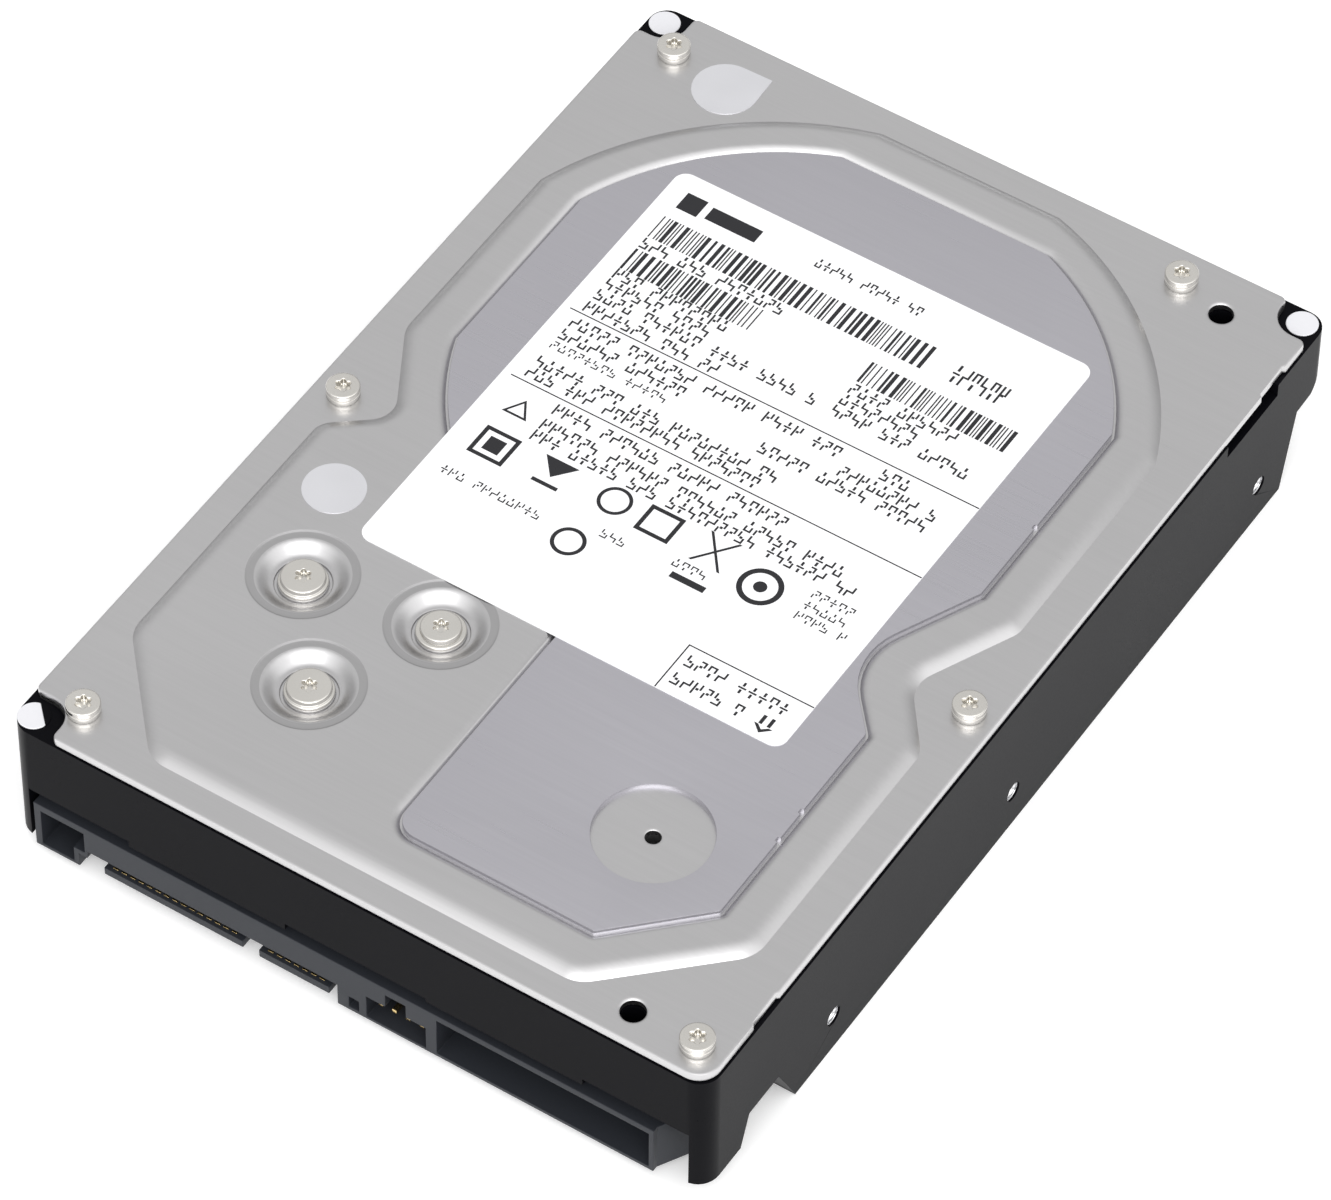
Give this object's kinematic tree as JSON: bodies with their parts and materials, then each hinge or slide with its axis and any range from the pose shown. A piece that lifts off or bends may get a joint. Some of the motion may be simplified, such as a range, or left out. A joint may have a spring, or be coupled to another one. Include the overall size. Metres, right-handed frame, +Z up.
{
  "type": "hard disk drive",
  "caption": "Sealed 3.5-inch hard disk drive with a pressed steel cover, spinning discs, a swinging head actuator and SATA connectors.",
  "frame": {"origin": "centre of the bounding box in plan, on the plane of the side rails' faces", "axes": "+X across the drive to the right seen from the connector end, +Y along it away from the connectors, +Z up to the cover"},
  "size_m": [0.1016, 0.146, 0.0261],
  "materials": {
    "casting": "black satin electrocoat on die-cast aluminium",
    "cover_steel": "satin stainless sheet with fine lengthwise brushing",
    "damper_steel": "matt cool grey stainless damping plate",
    "gasket_rubber": "black elastomer",
    "screw_nickel": "bright nickel plate",
    "label_paper": "smooth white label stock, printed in black",
    "seal_foil": "pale foil-backed sticker",
    "filter_fibre": "white fibre filter",
    "board_laminate": "green solder mask",
    "foam": "dark closed-cell foam",
    "chip_epoxy": "black moulded epoxy",
    "component_mix": "ceramic capacitors and resistors",
    "connector_plastic": "dark slate moulded plastic",
    "contact_gold": "gold-plated contacts",
    "machined_aluminium": "turned and milled aluminium",
    "stator_steel": "laminated electrical steel",
    "copper_wire": "enamelled copper wire",
    "bright_steel": "ground stainless steel",
    "disc_mirror": "mirror-bright magnetic disc",
    "magnet_nickel": "nickel-plated rare-earth magnet",
    "yoke_nickel": "nickel-plated steel plate",
    "ramp_plastic": "ivory low-friction plastic",
    "slider_ceramic": "dark ceramic head slider",
    "flex_film": "amber polyimide film"
  },
  "bodies": {
    "chassis": {"base_casting": "casting", "top_cover": "cover_steel", "damper_plate": "damper_steel", "cover_gasket": "gasket_rubber", "cover_screws": "screw_nickel", "drive_label": "label_paper", "teardrop_seal": "seal_foil", "round_seal": "seal_foil", "breather_filter": "filter_fibre", "recirculation_filter": "filter_fibre", "circuit_board": "board_laminate", "board_screws": "screw_nickel", "board_insulator": "foam", "controller_chip": "chip_epoxy", "memory_chip": "chip_epoxy", "motor_driver_chip": "chip_epoxy", "board_small_parts": "component_mix", "connector_housing": "connector_plastic", "sata_power_contacts": "contact_gold", "sata_data_contacts": "contact_gold", "jumper_pins": "contact_gold", "head_connector": "connector_plastic", "motor_bracket": "machined_aluminium", "stator_core": "stator_steel", "stator_coils": "copper_wire", "spindle_shaft": "bright_steel", "pivot_shaft": "bright_steel", "pivot_screw": "screw_nickel", "lower_yoke": "yoke_nickel", "lower_magnets": "magnet_nickel", "upper_yoke": "yoke_nickel", "upper_magnets": "magnet_nickel", "yoke_screws": "screw_nickel", "yoke_posts": "bright_steel", "crash_stops": "gasket_rubber", "head_ramp": "ramp_plastic", "ramp_screw": "screw_nickel", "flex_bracket": "connector_plastic", "flex_cable": "flex_film", "latch_pin": "bright_steel"},
    "rotor": {"spindle_hub": "machined_aluminium", "rotor_magnet": "magnet_nickel", "disc_1": "disc_mirror", "disc_2": "disc_mirror", "disc_3": "disc_mirror", "disc_4": "disc_mirror", "disc_spacers": "machined_aluminium", "disc_clamp": "machined_aluminium", "clamp_screws": "screw_nickel"},
    "actuator": {"actuator_comb": "machined_aluminium", "pivot_bearing": "bright_steel", "voice_coil": "copper_wire", "coil_bobbin": "connector_plastic", "suspensions": "bright_steel", "head_sliders": "slider_ceramic", "arm_flex": "flex_film"},
    "latch": {"latch_lever": "ramp_plastic"}
  },
  "joints": [
    {"name": "spindle_spin", "type": "hinge", "parent": "chassis", "child": "rotor", "pos_m": [0, 0.0216, 0.014], "axis": [0, 0, 1], "continuous": true},
    {"name": "actuator_swing", "type": "hinge", "parent": "chassis", "child": "actuator", "pos_m": [-0.0143, -0.0326, 0.014], "axis": [0, 0, 1], "range_deg": [0, 35]},
    {"name": "latch_swing", "type": "hinge", "parent": "chassis", "child": "latch", "pos_m": [-0.0432, -0.0265, 0.014], "axis": [0, 0, 1], "range_deg": [0, 3.8]}
  ]
}
